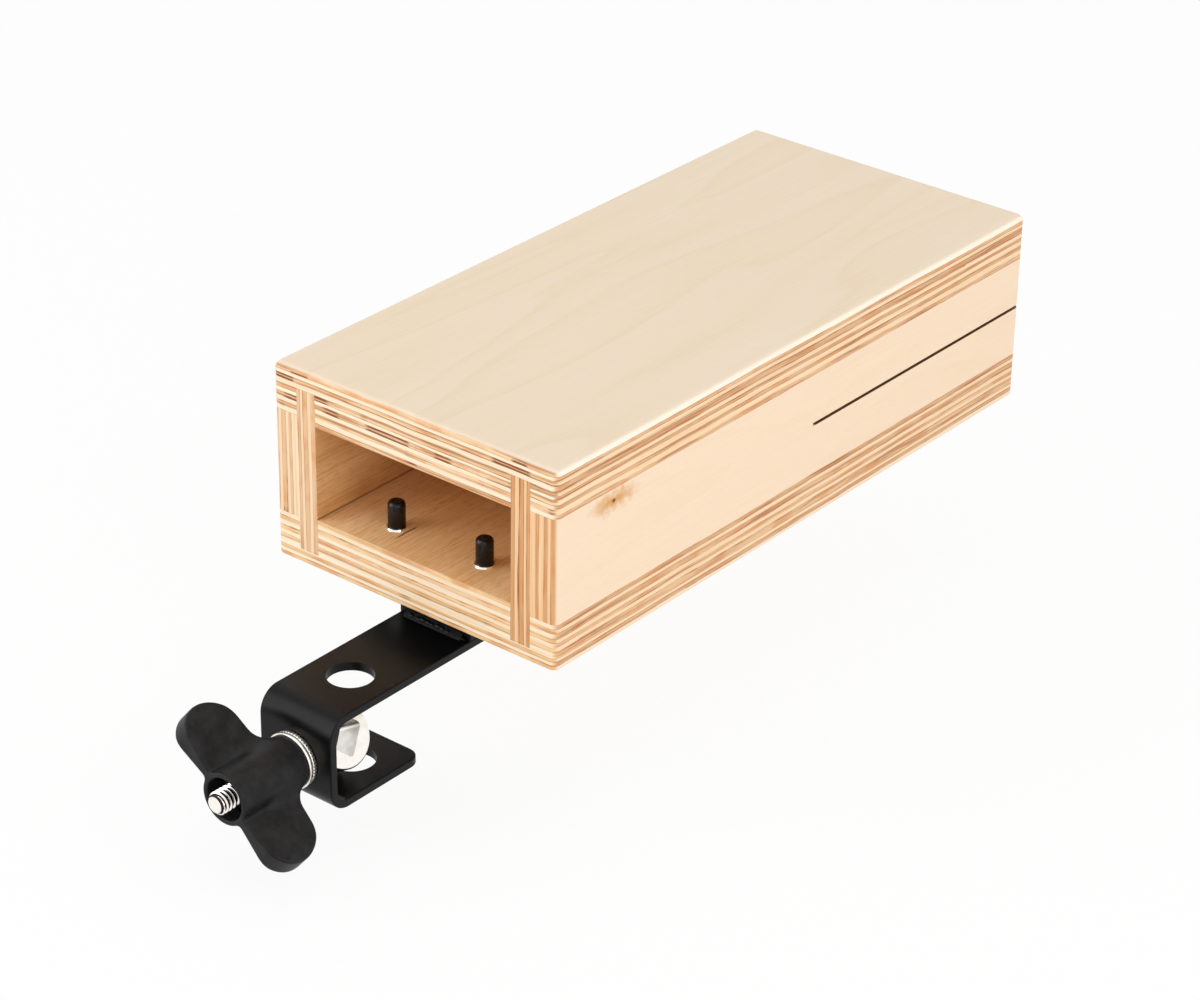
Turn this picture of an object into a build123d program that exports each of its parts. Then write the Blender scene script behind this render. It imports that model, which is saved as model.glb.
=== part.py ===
from build123d import *

import os
from math import cos, hypot, radians, sin, sqrt

# Hollow plywood woodblock with a saw slit in its sides, and the steel rod clamp under its front end.
# Millimetres. +Z is up along the stand rod, +Y runs back along the block and +X to its right.
# The origin is the centre of the upper rod hole, on the strap's top face.

# Plywood panels
PANEL = 15.0  # thickness of all four panels, eleven plies
BLOCK_WIDTH = 98.0
BLOCK_LENGTH = 211.0
CHAMBER_HEIGHT = 28.0
TONGUE_WIDTH = 6.4  # tongue on each side panel, flush with the chamber's wall
TOP_SKIN = 5.5  # wood left over the grooves in the top plate
BOTTOM_SKIN = 4.1  # wood left under the grooves in the bottom plate
SHOULDER = 1.35  # one ply: how far the side's outer shoulder is let into the plates
GLUE_LINE = 0.05  # play around a tongue in its groove
BLOCK_EDGE = 2.0  # rounding of the block's outer edges
BLOCK_FOOT_EDGE = 0.6  # and of those on its underside

# Saw slit in both sides
SLIT_WIDTH = 1.0
SLIT_LENGTH = 100.0  # from the rear end

# Welded bracket of black steel: plate under the block, riser, and the bent strap
STRAP_WIDTH = 25.0
STRAP = 2.5  # thickness of the strap and of the riser
STRAP_BEND = 4.0  # inner radius of its bends
STRAP_CORNER = 4.0  # rounding of the free end's corners
STRAP_EDGE = 0.4
ROD_HOLE = 13.0
ROD_TO_BLOCK = 24.4  # rod axis to the block's front face
ROD_TO_LEG = 21.3  # rod axis to the front leg's outer face
ROD_TO_END = 13.6  # rod axis to the free end of the lower leg
JOG = 8.7  # strap's top face to the block's underside
RISER_LEAD = 1.2  # how far the riser stands in front of the line of the screws
STRAP_TAIL = 6.0  # how far the strap runs on behind the riser
WELD = 1.6  # leg of the weld beads
WELD_MARGIN = 2.5  # bare edge at each end of a bead
PLATE = 2.5  # thickness of the mounting plate
PLATE_DEPTH = 12.0
PLATE_CORNER = 3.5
PLATE_MARGIN = 7.5  # screw axis to the plate's end

# Fixing screws, M3 countersunk, with flanged inserts and vinyl caps
SCREW_SETBACK = 11.2  # block's front face to the screws
SCREW_BESIDE = 0.25  # between a screw's head and the riser's edge
SCREW_THREAD = 3.0
SCREW_HEAD = 5.5
SCREW_STANDOUT = 4.5  # screw's end over the chamber's floor
SCREW_SOCKET = 2.0  # hexagon socket across flats
SCREW_SOCKET_DEPTH = 1.1
SCREW_PLAY = 0.2  # radial play of a screw in plate and wood
INSERT_BODY = 5.0
INSERT_LENGTH = 10.0
INSERT_FLANGE = 6.0
INSERT_RIM = 0.5  # thickness of the flange
INSERT_TAPER = 20.0  # slope of the flange's edge
CAP_WALL = 0.9
CAP_ROOF = 3.3  # vinyl over the screw's end
CAP_DOME = 1.2
CAP_SPARE = 0.3  # free height over the screw's end

# Clamp screw
BOLT = 6.35  # quarter-inch thread
BOLT_TIP = 0.5
BOLT_STANDOUT = 3.2  # tip in front of the wing nut's hub
BOLT_HOLE_PLAY = 0.3  # radial play in the front leg
EYE = 19.2
EYE_THICK = 8.6
EYE_RIM = 3.0  # the eye's ring, where it is thinnest
EYE_SQUARE_CORNER = 1.2
EYE_EDGE = 1.0
EYE_ANGLE = 32.0  # the eye's face leans back this far from facing right
EYE_ROOM_ABOVE = 2.4  # from the eye, as it turns, to the upper leg
EYE_ROOM_BELOW = 0.3  # and to the lower leg
NECK_STEP = 1.0  # how much thicker than the thread the neck is, all round
NECK_LENGTH = 0.1  # from the eye's rim
CLAMP_TRAVEL = 1.6  # from the neck to the front leg, left for tightening

# Washers
WASHER_PLAY = 0.2  # radial play on the bolt
LOCK_WASHER = 15.7
LOCK_WASHER_THICK = 1.4
LOCK_TEETH = 48
LOCK_NOTCH = 0.35
LOCK_NOTCH_DEPTH = 0.25
FLAT_WASHER = 15.9
FLAT_WASHER_THICK = 1.3
WASHER_EDGE = 0.2
SEAT_GAP = 0.05  # between faces that turn on each other

# Wing nut
HUB = 15.0
HUB_LENGTH = 23.7
HUB_EDGE = 0.5
HUB_COLLAR = 4.7  # bare hub behind the wings
HUB_WALL = 1.5  # round the recess in its front end
HUB_RECESS_DEPTH = 6.5
WING_SPAN = 48.6  # tip to tip
WING_THICK = 5.6
WING_EDGE = 1.4
WING_SETBACK = 0.8  # hub's front end to the wings
WING_ROOT = 2.5  # rounding where wings and hub meet
WING_ANGLE = 140.0  # first wing, from +X towards +Z
BUSH_WALL = 1.5
BUSH_COVER = 3.2  # plastic behind the bush
BUSH_GROOVE = 0.5  # depth of the groove that the plastic grips
BUSH_GROOVE_LENGTH = 5.0
BUSH_PLAY = 0.02  # moulded round the bush
THREAD_PLAY = 0.05  # radial play of a screw or bolt in its thread

TOUCH = 0.01  # two places this near are the same

# Places that follow from the sizes
block_front = ROD_TO_BLOCK
block_rear = block_front + BLOCK_LENGTH
underside = JOG
floor = underside + PANEL
ceiling = floor + CHAMBER_HEIGHT
mid_height = (floor + ceiling) / 2
half_width = BLOCK_WIDTH / 2
wall = half_width - PANEL
top_tongue = PANEL - TOP_SKIN
bottom_tongue = PANEL - BOTTOM_SKIN
section = Plane.XZ.offset(-block_front)  # the block's front face, seen from the front

screw_x = STRAP_WIDTH / 2 + SCREW_BESIDE + SCREW_HEAD / 2
screw_y = block_front + SCREW_SETBACK
screw_places = {"left": (-screw_x, screw_y), "right": (screw_x, screw_y)}
screw_bottom = underside - PLATE
screw_top = floor + SCREW_STANDOUT
riser_y = screw_y - RISER_LEAD
riser_front = riser_y - STRAP / 2

# radius that the eye needs as it turns
eye_sweep = hypot(EYE / 2 - EYE_EDGE, EYE_THICK / 2 - EYE_EDGE) + EYE_EDGE
bolt_z = -STRAP - EYE_ROOM_ABOVE - eye_sweep
lower_leg_top = bolt_z - eye_sweep - EYE_ROOM_BELOW
leg_face = -ROD_TO_LEG
neck_end = leg_face + STRAP + CLAMP_TRAVEL
eye_y = neck_end + NECK_LENGTH + EYE / 2
eye_square = (EYE / 2 - EYE_RIM + EYE_SQUARE_CORNER * (sqrt(2) - 1)) * sqrt(2)

lock_front = leg_face - SEAT_GAP - LOCK_WASHER_THICK
flat_front = lock_front - FLAT_WASHER_THICK
hub_rear = flat_front - SEAT_GAP
hub_front = hub_rear - HUB_LENGTH
bolt_tip_y = hub_front - BOLT_STANDOUT
wing_depth = HUB_LENGTH - WING_SETBACK - HUB_COLLAR
wing_y = hub_front + WING_SETBACK + wing_depth / 2
bush_front = hub_front + HUB_RECESS_DEPTH
bush_rear = hub_rear - BUSH_COVER
bush_middle = (bush_front + bush_rear) / 2
bush_radius = BOLT / 2 + BUSH_WALL


def across(y):
    """Plane square to the bolt at y, centred on it and facing forwards."""
    return Plane(origin=(0, y, bolt_z), x_dir=(1, 0, 0), z_dir=(0, -1, 0))


def on_hub(edge):
    """Whether an edge lies on the outside of the wing nut's hub."""
    points = [edge @ t for t in (0, 0.5, 1)]
    return all(abs(hypot(p.X, p.Z - bolt_z) - HUB / 2) < TOUCH for p in points)


def outer_corners(panel):
    """The upright edges at a panel's outer corners."""
    return panel.edges().filter_by(Axis.Z).filter_by(lambda e: abs(e.center().X) > half_width - TOUCH)


def plate_section(inner_face, into_plate, tongue):
    """Section of a grooved plate; into_plate is +1 for the top plate and -1 for the bottom plate."""
    groove_width = TONGUE_WIDTH + 2 * GLUE_LINE
    groove_depth = tongue + GLUE_LINE
    lip_width = PANEL - TONGUE_WIDTH
    with BuildSketch(section) as profile:
        with Locations((0, inner_face + into_plate * PANEL / 2)):
            Rectangle(BLOCK_WIDTH, PANEL)
        for side in (-1, 1):
            with Locations((side * (wall + TONGUE_WIDTH / 2), inner_face + into_plate * groove_depth / 2)):
                Rectangle(groove_width, groove_depth, mode=Mode.SUBTRACT)
            with Locations((side * (half_width - lip_width / 2), inner_face + into_plate * SHOULDER / 2)):
                Rectangle(lip_width, SHOULDER, mode=Mode.SUBTRACT)
    return profile.sketch


def make_side(side):
    """One side panel with its two tongues and its saw slit; side is -1 for left and +1 for right."""
    tongue_height = CHAMBER_HEIGHT + top_tongue + bottom_tongue
    with BuildPart() as panel:
        with BuildSketch(section):
            with Locations((side * (half_width - PANEL / 2), mid_height)):
                Rectangle(PANEL, CHAMBER_HEIGHT + 2 * SHOULDER)
            with Locations((side * (wall + TONGUE_WIDTH / 2), floor - bottom_tongue + tongue_height / 2)):
                Rectangle(TONGUE_WIDTH, tongue_height)
        extrude(amount=-BLOCK_LENGTH)
        with Locations((side * (half_width - PANEL / 2), block_rear - SLIT_LENGTH / 2, mid_height)):
            Box(PANEL, SLIT_LENGTH, SLIT_WIDTH, mode=Mode.SUBTRACT)
        fillet(outer_corners(panel), BLOCK_EDGE)
    return panel.part


with BuildPart() as top_plate:
    extrude(plate_section(ceiling, 1, top_tongue), amount=-BLOCK_LENGTH)
    fillet(outer_corners(top_plate) + top_plate.faces().sort_by(Axis.Z)[-1].edges(), BLOCK_EDGE)

with BuildPart() as bottom_plate:
    extrude(plate_section(floor, -1, bottom_tongue), amount=-BLOCK_LENGTH)
    fillet(outer_corners(bottom_plate), BLOCK_EDGE)
    fillet(bottom_plate.faces().sort_by(Axis.Z)[0].edges(), BLOCK_FOOT_EDGE)
    with Locations(*[(x, y, floor) for x, y in screw_places.values()]):
        CounterBoreHole(
            SCREW_THREAD / 2 + SCREW_PLAY, INSERT_BODY / 2 + GLUE_LINE, INSERT_LENGTH + GLUE_LINE
        )

# Mounting plate, with the two screws countersunk from below
with BuildPart() as mounting_plate:
    with BuildSketch(Plane.XY.offset(screw_bottom)):
        with Locations((0, screw_y)):
            RectangleRounded(2 * (screw_x + PLATE_MARGIN), PLATE_DEPTH, PLATE_CORNER)
    extrude(amount=PLATE)
    screw_heads = [Plane(origin=(x, y, screw_bottom), z_dir=(0, 0, -1)) for x, y in screw_places.values()]
    with Locations(*screw_heads):
        CounterSinkHole(SCREW_THREAD / 2 + SCREW_PLAY, SCREW_HEAD / 2 + SCREW_PLAY, counter_sink_angle=90)

# Riser, which stands on the strap and is welded to the mounting plate along its front and its back
with BuildPart() as riser:
    with BuildSketch(Plane.YZ):
        with BuildLine():
            Polyline(
                (riser_front, 0),
                (riser_front + STRAP, 0),
                (riser_front + STRAP, screw_bottom),
                (riser_front, screw_bottom),
                close=True,
            )
        make_face()
    extrude(amount=STRAP_WIDTH / 2, both=True)
    fillet(riser.edges().filter_by(Axis.Z), STRAP_EDGE)
    with BuildSketch(Plane.YZ):
        for face_y, away in ((riser_front, -1), (riser_front + STRAP, 1)):
            with BuildLine():
                Polyline(
                    (face_y, screw_bottom),
                    (face_y + away * WELD, screw_bottom),
                    (face_y, screw_bottom - WELD),
                    close=True,
                )
            make_face()
    extrude(amount=STRAP_WIDTH / 2 - WELD_MARGIN, both=True)

# Strap: upper leg, front leg and lower leg in one bent strip, with the weld bead on the riser
with BuildPart() as clamp_strap:
    with BuildSketch(Plane.YZ):
        with BuildLine():
            FilletPolyline(
                (riser_front + STRAP + STRAP_TAIL, -STRAP / 2),
                (leg_face + STRAP / 2, -STRAP / 2),
                (leg_face + STRAP / 2, lower_leg_top - STRAP / 2),
                (ROD_TO_END, lower_leg_top - STRAP / 2),
                radius=STRAP_BEND + STRAP / 2,
            )
        trace(line_width=STRAP)
    extrude(amount=STRAP_WIDTH / 2, both=True)
    free_end = clamp_strap.edges().filter_by(Axis.Z).filter_by_position(
        Axis.Y, ROD_TO_END - TOUCH, ROD_TO_END + TOUCH
    )
    fillet(free_end, STRAP_CORNER)
    rims = clamp_strap.faces().sort_by(Axis.X)
    fillet(rims[0].edges() + rims[-1].edges(), STRAP_EDGE)
    with BuildSketch(Plane.XY):
        Circle(ROD_HOLE / 2)
    extrude(amount=lower_leg_top - STRAP, mode=Mode.SUBTRACT)
    with BuildSketch(across(leg_face)):
        Circle(BOLT / 2 + BOLT_HOLE_PLAY)
    extrude(amount=-STRAP, mode=Mode.SUBTRACT)
    with BuildSketch(Plane.YZ):
        with BuildLine():
            Polyline((riser_front, 0), (riser_front - WELD, 0), (riser_front, WELD), close=True)
        make_face()
    extrude(amount=STRAP_WIDTH / 2 - WELD_MARGIN, both=True)


def make_screw(x, y):
    """Countersunk screw from under the plate, with its hexagon socket."""
    head_depth = (SCREW_HEAD - SCREW_THREAD) / 2
    with BuildPart() as screw:
        with BuildSketch(Plane.XZ.offset(-y)):
            with BuildLine():
                Polyline(
                    (x, screw_bottom),
                    (x + SCREW_HEAD / 2, screw_bottom),
                    (x + SCREW_THREAD / 2, screw_bottom + head_depth),
                    (x + SCREW_THREAD / 2, screw_top),
                    (x, screw_top),
                    close=True,
                )
            make_face()
        revolve(axis=Axis((x, y, 0), (0, 0, 1)))
        with BuildSketch(Plane.XY.offset(screw_bottom)):
            with Locations((x, y)):
                RegularPolygon(SCREW_SOCKET / 2, 6, major_radius=False)
        extrude(amount=SCREW_SOCKET_DEPTH, mode=Mode.SUBTRACT)
    return screw.part


def make_insert(x, y):
    """Flanged threaded insert in the chamber's floor."""
    with BuildPart() as insert:
        with BuildSketch(Plane.XY.offset(floor)):
            with Locations((x, y)):
                Circle(INSERT_BODY / 2)
        extrude(amount=-INSERT_LENGTH)
        with BuildSketch(Plane.XY.offset(floor)):
            with Locations((x, y)):
                Circle(INSERT_FLANGE / 2)
        extrude(amount=INSERT_RIM, taper=INSERT_TAPER)
        with Locations((x, y, floor + INSERT_RIM)):
            Hole(SCREW_THREAD / 2 + THREAD_PLAY)
    return insert.part


def make_cap(x, y):
    """Domed vinyl cap over the screw's end."""
    foot = floor + INSERT_RIM
    bore = SCREW_THREAD / 2 + THREAD_PLAY
    bore_top = screw_top + CAP_SPARE
    with BuildPart() as cap:
        with BuildSketch(Plane.XY.offset(foot)):
            with Locations((x, y)):
                Circle(bore + CAP_WALL)
        extrude(amount=bore_top + CAP_ROOF - foot)
        fillet(cap.faces().sort_by(Axis.Z)[-1].edges(), CAP_DOME)
        with BuildSketch(Plane.XY.offset(foot)):
            with Locations((x, y)):
                Circle(bore)
        extrude(amount=bore_top - foot, mode=Mode.SUBTRACT)
    return cap.part


# Eye bolt: flat round eye with a square hole on its corner, neck and threaded shank
with BuildPart() as eye_bolt:
    eye_normal = (cos(radians(EYE_ANGLE)), 0, sin(radians(EYE_ANGLE)))
    eye_plane = Plane(origin=(0, eye_y, bolt_z), x_dir=(0, 1, 0), z_dir=eye_normal)
    with BuildSketch(eye_plane):
        Circle(EYE / 2)
    extrude(amount=EYE_THICK / 2, both=True)
    fillet(eye_bolt.edges().filter_by(GeomType.CIRCLE), EYE_EDGE)
    with BuildSketch(across(eye_y)):
        Circle(BOLT / 2 + NECK_STEP)
    extrude(amount=eye_y - neck_end)
    with BuildSketch(across(eye_y)):
        Circle(BOLT / 2)
    extrude(amount=eye_y - bolt_tip_y)
    chamfer(eye_bolt.faces().sort_by(Axis.Y)[0].edges(), BOLT_TIP)
    with BuildSketch(eye_plane):
        with Locations(Rotation(0, 0, 45)):
            RectangleRounded(eye_square, eye_square, EYE_SQUARE_CORNER)
    extrude(amount=EYE, both=True, mode=Mode.SUBTRACT)

# Toothed lock washer on the strap, and the flat washer under the wing nut
with BuildPart() as lock_washer:
    with BuildSketch(across(leg_face - SEAT_GAP)):
        Circle(LOCK_WASHER / 2)
        Circle(BOLT / 2 + WASHER_PLAY, mode=Mode.SUBTRACT)
        with PolarLocations(LOCK_WASHER / 2, LOCK_TEETH):
            Rectangle(2 * LOCK_NOTCH_DEPTH, LOCK_NOTCH, mode=Mode.SUBTRACT)
    extrude(amount=LOCK_WASHER_THICK)

with BuildPart() as flat_washer:
    with BuildSketch(across(lock_front)):
        Circle(FLAT_WASHER / 2)
    extrude(amount=FLAT_WASHER_THICK)
    fillet(flat_washer.edges(), WASHER_EDGE)
    with BuildSketch(across(lock_front)):
        Circle(BOLT / 2 + WASHER_PLAY)
    extrude(amount=FLAT_WASHER_THICK, mode=Mode.SUBTRACT)


def bush_solid(play, bore):
    """Bush with its grip groove, grown by play all round and bored to a radius."""
    with BuildPart() as bush:
        with BuildSketch(across(bush_rear)):
            Circle(bush_radius + play)
            Circle(bore, mode=Mode.SUBTRACT)
        extrude(amount=bush_rear - bush_front)
        with BuildSketch(across(bush_middle + BUSH_GROOVE_LENGTH / 2 - play)):
            Circle(bush_radius + play)
            Circle(bush_radius + play - BUSH_GROOVE, mode=Mode.SUBTRACT)
        extrude(amount=BUSH_GROOVE_LENGTH - 2 * play, mode=Mode.SUBTRACT)
    return bush.part


# Threaded bush inside the hub, grooved so that the plastic holds it
nut_bush = bush_solid(0, BOLT / 2 + THREAD_PLAY)

# Wing nut: two wings through a hub that is recessed at its front end, moulded round the bush
with BuildPart() as wing_nut:
    turn = radians(WING_ANGLE)
    wing_plane = Plane(
        origin=(0, wing_y, bolt_z), x_dir=(cos(turn), 0, sin(turn)), z_dir=(sin(turn), 0, -cos(turn))
    )
    with BuildSketch(wing_plane):
        SlotOverall(WING_SPAN, wing_depth)
    extrude(amount=WING_THICK / 2, both=True)
    fillet(wing_nut.edges(), WING_EDGE)
    with BuildSketch(across(hub_rear)):
        Circle(HUB / 2)
    extrude(amount=HUB_LENGTH)
    hub_edges = wing_nut.edges().filter_by(on_hub)
    hub_ends = hub_edges.group_by(Axis.Y)
    fillet(hub_edges.filter_by(lambda e: hub_front + TOUCH < e.center().Y < hub_rear - TOUCH), WING_ROOT)
    fillet(hub_ends[0] + hub_ends[-1], HUB_EDGE)
    with BuildSketch(across(hub_rear)):
        Circle(BOLT / 2 + BOLT_HOLE_PLAY)
    extrude(amount=HUB_LENGTH, mode=Mode.SUBTRACT)
    with BuildSketch(across(bush_front)):
        Circle(HUB / 2 - HUB_WALL)
    extrude(amount=HUB_RECESS_DEPTH, mode=Mode.SUBTRACT)
    add(bush_solid(BUSH_PLAY, BOLT / 2), mode=Mode.SUBTRACT)

pieces = {
    "top_plate": top_plate.part,
    "bottom_plate": bottom_plate.part,
    "left_side": make_side(-1),
    "right_side": make_side(1),
    "mounting_plate": mounting_plate.part,
    "riser": riser.part,
    "clamp_strap": clamp_strap.part,
    "eye_bolt": eye_bolt.part,
    "lock_washer": lock_washer.part,
    "flat_washer": flat_washer.part,
    "wing_nut": wing_nut.part,
    "nut_bush": nut_bush,
}
for hand, place in screw_places.items():
    pieces[f"{hand}_screw"] = make_screw(*place)
    pieces[f"{hand}_insert"] = make_insert(*place)
    pieces[f"{hand}_cap"] = make_cap(*place)

os.makedirs("parts", exist_ok=True)
for name, piece in pieces.items():
    piece.label = name
    export_step(piece, f"parts/{name}.step")
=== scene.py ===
from math import cos, inf, pi, radians, sin
from types import SimpleNamespace

import bmesh
import bpy
import numpy as np
import openvdb
from mathutils import Matrix, Vector


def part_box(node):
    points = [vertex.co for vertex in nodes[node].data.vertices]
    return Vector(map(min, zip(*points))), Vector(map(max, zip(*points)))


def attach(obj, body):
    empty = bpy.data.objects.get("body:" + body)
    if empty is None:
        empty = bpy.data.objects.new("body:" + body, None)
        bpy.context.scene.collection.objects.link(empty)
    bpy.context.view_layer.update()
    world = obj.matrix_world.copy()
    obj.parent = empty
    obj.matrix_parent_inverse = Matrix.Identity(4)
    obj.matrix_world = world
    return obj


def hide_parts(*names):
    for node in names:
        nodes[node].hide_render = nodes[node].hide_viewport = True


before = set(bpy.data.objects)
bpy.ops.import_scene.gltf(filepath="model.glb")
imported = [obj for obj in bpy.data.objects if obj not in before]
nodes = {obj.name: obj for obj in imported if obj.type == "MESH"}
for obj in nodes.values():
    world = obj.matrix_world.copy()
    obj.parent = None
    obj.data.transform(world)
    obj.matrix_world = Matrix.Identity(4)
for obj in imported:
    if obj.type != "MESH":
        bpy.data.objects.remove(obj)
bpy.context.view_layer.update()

# Woodblock of birch plywood on its steel rod clamp. Objects are in metres, in the part's own frame:
# +Z up along the stand rod, +Y back along the block, +X to its right. Sizes are written in millimetres
# and turned to metres with MM; materials turn Object coordinates to millimetres with PER_MM.
MM = 0.001
PER_MM = 1000.0
X, Y, Z = 0, 1, 2

# Veneers of the plywood
PLIES = 11  # in each panel, the outer ones with their grain along the block
WAVY = 0.5  # how far a veneer wanders up and down, in veneers
WAVE_LENGTH = 35.0
UNEVEN = 0.9  # how far the veneers' thicknesses differ, in veneers
UNEVEN_PACE = 0.55  # how fast the thickness changes from veneer to veneer
RAGGED = 0.5  # how far the sanded border between two veneers wanders, in veneers
FRAY_LENGTH = 14.0  # its ragged stretches, along the border
FRAY_DEPTH = 0.4  # and through the panel
VENEER_SHIFT = 17.3  # sideways, from one veneer to the next, so that no two share their grain
GAP_DEPTH = 5.0  # gaps in the end grain, into the wood
GAP_LENGTH = 15.0  # and along the veneer
GAP_STEP = 2.7  # in the gaps' noise, from one veneer to the next
GAP_FADE = 0.05  # softness of the gaps' ends
FACE_CLEAR = 0.4  # how far below the faces glue and gaps begin, in veneers
FACE_FULL = 0.6  # and reach their full strength
VENEER_SHADE = 0.3  # how much of the end grain's tone is the veneer's own
LONG_EDGE_VEINS = 0.65  # strength of the veins along the block's sides
RINGS = 7.0  # growth rings in the flame figure's noise
RING_RISE = 2.5  # how late in its width a ring darkens
FIBRE_TONE = 0.16  # how much fibres and pores darken the outer faces
PORE_TONE = 0.14
OPEN_PORE_TONE = 0.32  # on the raw inner faces
SLIT_LENGTH = 100.0  # from the rear end
SCORCH = (0.55, 0.7)  # from the slit's middle: browned so far, and no more beyond
SCORCH_AHEAD = 0.2  # in front of the slit's end

# Marks in the wood, as half sizes along X, Y and Z
KNOT_CLOUD = (inf, 12.0, 4.0)
KNOT_EYE = (inf, 1.0, 0.8)
CRACK = (0.42, 5.5, inf)
STIRRED = 2.5  # size of the noise that stirs them
KNOT_STIR = 5.5  # and how far it does
CRACK_STIR = 1.0

# Grain of birch: sizes along the grain, across it and through the veneer, with the noise's settings.
# Real pores are finer; they are drawn as coarse as they need to show.
BIRCH_GRAIN = {
    "fibre": ((45.0, 0.7, 0.7), {"Detail": 3.0, "Roughness": 0.6}),
    "pore": ((4.0, 0.35, 0.35), {"Detail": 1.5}),
    "flame": ((210.0, 34.0, inf), {"Detail": 1.5, "Distortion": 0.4}),
    "band": ((120.0, 9.0, 4.0), {"Detail": 2.0}),
    "streak": ((50.0, 32.0, 0.35), {"Detail": 2.5, "Roughness": 0.65}),
    "vein": ((60.0, 36.0, 0.6), {"Detail": 1.5}),
}

# Sizes of the other finishes' patterns
COAT_PEEL = 0.9
COAT_PATCH = 14.0  # slow changes of its gloss
NYLON_GRAIN = 0.35  # drawn coarser than it is, so that it shows
NYLON_FLOW = 6.0  # clouds that the flow in the mould leaves
PLATING_DENT = 1.6
PLATING_HAZE = 2.4
VINYL_RIPPLE = 2.2

# Eye bolt
THREAD_PITCH = 1.27  # quarter-inch coarse thread
THREAD_DEPTH = 0.69
THREAD_SPOKES = 48
THREAD_CREASE = radians(25.0)
CREST_FLAT = 0.125  # shares of the pitch
ROOT_FLAT = 0.25
TIP_CONE = 0.9  # how far the tip is coned off
NECK_STEP = 0.2  # how much thicker than the shank the neck is at least
NECK_STUB = 0.3  # plain shank that is left in front of the neck
THREAD_RUNOUT = 0.25  # from that stub to the thread
ROOT_SHADE_DEPTH = 0.55  # share of the thread's depth below which the roots are painted dark, as shade
EYE = 19.2
EYE_RIM = 3.0  # its ring, where it is thinnest
BORE_MARGIN = 0.6  # past the hole's corners, what still counts as its bore
EYE_ANGLE = radians(32.0)
BORE_FACING = 0.5  # highest cosine between the eye's axis and a face of its bore
TIP_FACING = 0.98  # and between the bolt's axis and a face of the thread

# Pressed washers
WASHER_EDGE = 0.35  # rounding that the punch leaves
WASHER_EDGE_STEPS = 4
WASHER_SPOKES = 96
WASHER_CREASE = radians(40.0)
LOCK_TEETH = 48
LOCK_NOTCH_DEPTH = 0.25
SPOKES_PER_TOOTH = 4

# Wing nut
HUB = 15.0
HUB_COLLAR = 4.7  # hub behind the wings
HUB_WALL = 1.5
HUB_RECESS = 6.5
HUB_REAR_EDGE = 0.5
HUB_FRONT_EDGE = 0.6
BORE_PLAY = 0.3
WING_SPAN = 48.6
WING_ANGLE = radians(140.0)
WING_ROOT_THICK = 2.8  # the wings swell from the hub to their tips
WING_TIP_THICK = 6.6
WING_TIP_ROUND = 7.6
WING_TAPER = 0.2  # slope of their rear edge
WING_EDGE = 0.7
FACE_BLEND = 1.5  # moulded rounding where the wings' faces meet the hub
REAR_BLEND = 5.5  # and in the corners behind the wings
VOXEL = 0.25

# Weld bead between strap and riser
WELD = 1.6  # leg of the fillet that the bead lies in
BEAD_LUMPS = 11
BEAD_RADIUS = 0.95
BEAD_WANDER = 0.35
BEAD_LIFT = 0.35  # from both plates to the bead's line
BEAD_INSET = 3.4  # from the strap's sides to the bead's ends
BEAD_SEED = 3

# Studio, in metres but for the drop to the floor
FLOOR_DROP = 27.0  # from the clamp screw's axis
FLOOR_REACH = 4.0
FLOOR_GLOW = 0.9  # how much of the floor is plain white to the camera
WORLD_FILL = 0.62
BLOCK_MIDDLE = (0.0, 0.12, 0.03)
CLAMP_MIDDLE = (0.0, 0.0, 0.01)
CAMERA_PLACE = (0.56785, -0.60078, 0.49905)
CAMERA_AZIMUTH = radians(38.92)
CAMERA_ELEVATION = radians(28.42)
CAMERA_ROLL = radians(-0.89)
SENSOR_WIDTH = 36.0
FOCAL_LENGTH = 110.66

# Kinds of node that are used often
MATH = "ShaderNodeMath"
VECTOR = "ShaderNodeVectorMath"
SPLIT = "ShaderNodeSeparateXYZ"
JOIN = "ShaderNodeCombineXYZ"
NOISE = "ShaderNodeTexNoise"
CHANCE = "ShaderNodeTexWhiteNoise"
RANGE = "ShaderNodeMapRange"
MIX = "ShaderNodeMix"
BUMP = "ShaderNodeBump"
SHADER = "ShaderNodeBsdfPrincipled"


def linear(code):
    """sRGB hex colour as the linear RGBA that shaders take."""
    channels = [int(code[i:i + 2], 16) / 255 for i in (1, 3, 5)]
    return [c / 12.92 if c <= 0.04045 else ((c + 0.055) / 1.055) ** 2.4 for c in channels] + [1.0]


def add(tree, kind, feeds=None, **settings):
    """Add a node with its settings, feed its live inputs by name or number, return its first live output."""
    made = tree.nodes.new(kind)
    for name, value in settings.items():
        setattr(made, name, value)
    for key, source in (feeds or {}).items():
        live = [s for s in made.inputs if s.enabled]
        socket = live[key] if isinstance(key, int) else next(s for s in live if s.name == key)
        if isinstance(source, bpy.types.NodeSocket):
            tree.links.new(source, socket)
        else:
            socket.default_value = source
    return next((s for s in made.outputs if s.enabled), None)


def empty_tree(owner):
    """Node tree of a material or a world, with nothing in it."""
    owner.use_nodes = True
    owner.node_tree.nodes.clear()
    return owner.node_tree


def new_material(name):
    """New material with its node tree, its coordinates, and the Object ones in millimetres."""
    material = bpy.data.materials.new(name)
    tree = empty_tree(material)
    place = add(tree, "ShaderNodeTexCoord").node.outputs
    mm = add(tree, VECTOR, {0: place["Object"], "Scale": PER_MM}, operation="SCALE")
    return material, tree, place, mm


def finish_material(tree, shader):
    """Send the shader to the material's surface."""
    add(tree, "ShaderNodeOutputMaterial", {"Surface": shader})


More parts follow.
